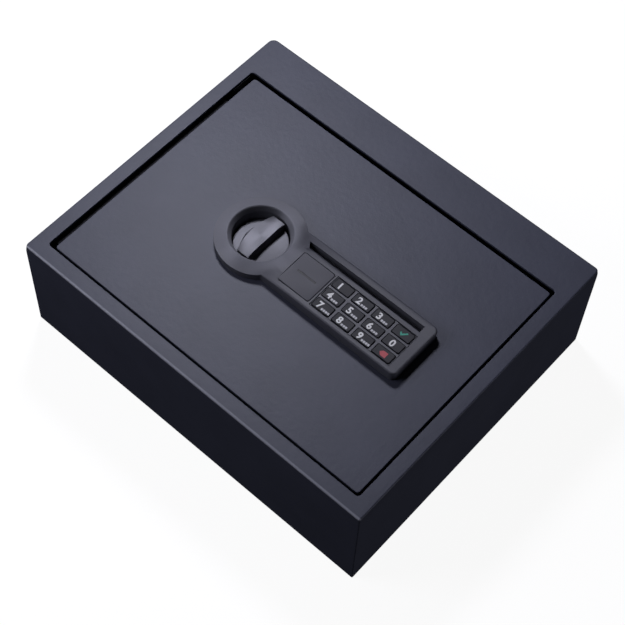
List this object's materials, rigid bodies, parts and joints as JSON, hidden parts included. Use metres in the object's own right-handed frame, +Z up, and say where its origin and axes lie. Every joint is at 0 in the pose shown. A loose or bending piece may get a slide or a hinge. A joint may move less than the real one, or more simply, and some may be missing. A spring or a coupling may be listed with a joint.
{
  "type": "drawer gun safe",
  "caption": "Low steel gun safe with an inset hinged lid, a key-shaped electronic lock with a turning knob, a keypad and a backup key lock, and two sliding bolts.",
  "frame": {"origin": "middle of the underside", "axes": "+X right along the long side, +Y back towards the hinge, +Z up"},
  "size_m": [0.35, 0.292, 0.1177],
  "materials": {
    "powder_coat": "fine-textured dark blue-grey powder coat",
    "black_steel": "black phosphated steel",
    "zinc_steel": "bright zinc plate",
    "bolt_steel": "ground steel",
    "bezel_plastic": "dark grey moulded plastic, satin",
    "keypad_grid": "dark grey moulded plastic, a little lighter than the keys",
    "knob_satin": "satin silver-grey",
    "key_rubber": "dark soft-touch keys with white figures",
    "cover_plastic": "black moulded plastic",
    "circuit_board": "green solder mask",
    "ribbon": "grey ribbon lead",
    "brass": "turned brass",
    "coil_winding": "enamelled copper wire",
    "cell_jacket": "plain cell jacket",
    "foam": "dark foam lining"
  },
  "bodies": {
    "box": {"body_shell": "powder_coat", "base_plate": "powder_coat", "foam_mat": "foam", "lid_ledge_left": "powder_coat", "lid_ledge_right": "powder_coat", "strike_angle": "powder_coat", "hinge_bracket_left": "black_steel", "hinge_bracket_right": "black_steel", "hinge_pin_left": "zinc_steel", "hinge_pin_right": "zinc_steel"},
    "lid": {"lid_panel": "powder_coat", "hinge_ear_left": "black_steel", "hinge_ear_right": "black_steel", "lock_bezel": "bezel_plastic", "keypad_plate": "keypad_grid", "keypad_board": "circuit_board", "keypad_ribbon": "ribbon", "key_lock_barrel": "zinc_steel", "bolt_guide_left": "black_steel", "bolt_guide_right": "black_steel", "guide_stud_left": "zinc_steel", "guide_stud_right": "zinc_steel", "mechanism_cover": "cover_plastic", "cover_screw_front_left": "zinc_steel", "cover_screw_front_right": "zinc_steel", "cover_screw_rear_left": "zinc_steel", "cover_screw_rear_right": "zinc_steel", "control_board": "circuit_board", "solenoid_frame": "zinc_steel", "solenoid_coil": "coil_winding", "plunger_spring": "zinc_steel", "battery_box": "cover_plastic", "aa_cell_1": "cell_jacket", "aa_cell_2": "cell_jacket", "aa_cell_3": "cell_jacket", "aa_cell_4": "cell_jacket"},
    "knob": {"knob": "knob_satin", "knob_spindle": "zinc_steel", "drive_crank": "zinc_steel"},
    "bolt_work": {"bolt_carriage": "zinc_steel", "bolt_left": "bolt_steel", "bolt_right": "bolt_steel"},
    "plunger": {"solenoid_plunger": "zinc_steel"},
    "key_cover": {"key_cover": "bezel_plastic"},
    "lock_plug": {"lock_plug": "brass", "lock_cam": "zinc_steel"},
    "battery_door": {"battery_door": "cover_plastic"},
    "key_1": {"key_1": "key_rubber"},
    "key_2": {"key_2": "key_rubber"},
    "key_3": {"key_3": "key_rubber"},
    "key_enter": {"key_enter": "key_rubber"},
    "key_4": {"key_4": "key_rubber"},
    "key_5": {"key_5": "key_rubber"},
    "key_6": {"key_6": "key_rubber"},
    "key_0": {"key_0": "key_rubber"},
    "key_7": {"key_7": "key_rubber"},
    "key_8": {"key_8": "key_rubber"},
    "key_9": {"key_9": "key_rubber"},
    "key_clear": {"key_clear": "key_rubber"}
  },
  "joints": [
    {"name": "lid_hinge", "type": "hinge", "parent": "box", "child": "lid", "pos_m": [0, 0.092, 0.0985], "axis": [-1, 0, 0], "range_deg": [0, 110]},
    {"name": "knob_turn", "type": "hinge", "parent": "lid", "child": "knob", "pos_m": [-0.0424, -0.0143, 0.1175], "axis": [0, 0, 1], "range_deg": [0, 90]},
    {"name": "bolt_slide", "type": "slide", "parent": "lid", "child": "bolt_work", "axis": [0, -1, 0], "range_m": [0, 0.014]},
    {"name": "plunger_slide", "type": "slide", "parent": "lid", "child": "plunger", "axis": [-1, 0, 0], "range_m": [0, 0.005]},
    {"name": "key_cover_lift", "type": "slide", "parent": "lid", "child": "key_cover", "axis": [0, 0, 1], "range_m": [0, 0.012]},
    {"name": "lock_plug_turn", "type": "hinge", "parent": "lid", "child": "lock_plug", "pos_m": [0.0115, -0.02035, 0.0928], "axis": [0, 0, -1], "range_deg": [0, 90]},
    {"name": "battery_door_hinge", "type": "hinge", "parent": "lid", "child": "battery_door", "pos_m": [0.08, 0.0056, 0.079], "axis": [1, 0, 0], "range_deg": [0, 90]},
    {"name": "key_1_press", "type": "slide", "parent": "lid", "child": "key_1", "axis": [0, 0, -1], "range_m": [0, 0.0008], "stiffness_N_per_m": 1000},
    {"name": "key_2_press", "type": "slide", "parent": "lid", "child": "key_2", "axis": [0, 0, -1], "range_m": [0, 0.0008], "stiffness_N_per_m": 1000},
    {"name": "key_3_press", "type": "slide", "parent": "lid", "child": "key_3", "axis": [0, 0, -1], "range_m": [0, 0.0008], "stiffness_N_per_m": 1000},
    {"name": "key_enter_press", "type": "slide", "parent": "lid", "child": "key_enter", "axis": [0, 0, -1], "range_m": [0, 0.0008], "stiffness_N_per_m": 1000},
    {"name": "key_4_press", "type": "slide", "parent": "lid", "child": "key_4", "axis": [0, 0, -1], "range_m": [0, 0.0008], "stiffness_N_per_m": 1000},
    {"name": "key_5_press", "type": "slide", "parent": "lid", "child": "key_5", "axis": [0, 0, -1], "range_m": [0, 0.0008], "stiffness_N_per_m": 1000},
    {"name": "key_6_press", "type": "slide", "parent": "lid", "child": "key_6", "axis": [0, 0, -1], "range_m": [0, 0.0008], "stiffness_N_per_m": 1000},
    {"name": "key_0_press", "type": "slide", "parent": "lid", "child": "key_0", "axis": [0, 0, -1], "range_m": [0, 0.0008], "stiffness_N_per_m": 1000},
    {"name": "key_7_press", "type": "slide", "parent": "lid", "child": "key_7", "axis": [0, 0, -1], "range_m": [0, 0.0008], "stiffness_N_per_m": 1000},
    {"name": "key_8_press", "type": "slide", "parent": "lid", "child": "key_8", "axis": [0, 0, -1], "range_m": [0, 0.0008], "stiffness_N_per_m": 1000},
    {"name": "key_9_press", "type": "slide", "parent": "lid", "child": "key_9", "axis": [0, 0, -1], "range_m": [0, 0.0008], "stiffness_N_per_m": 1000},
    {"name": "key_clear_press", "type": "slide", "parent": "lid", "child": "key_clear", "axis": [0, 0, -1], "range_m": [0, 0.0008], "stiffness_N_per_m": 1000}
  ],
  "couplings": [
    {"joint": "knob_turn", "follows": "bolt_slide", "rad_per_m": 112.2}
  ]
}
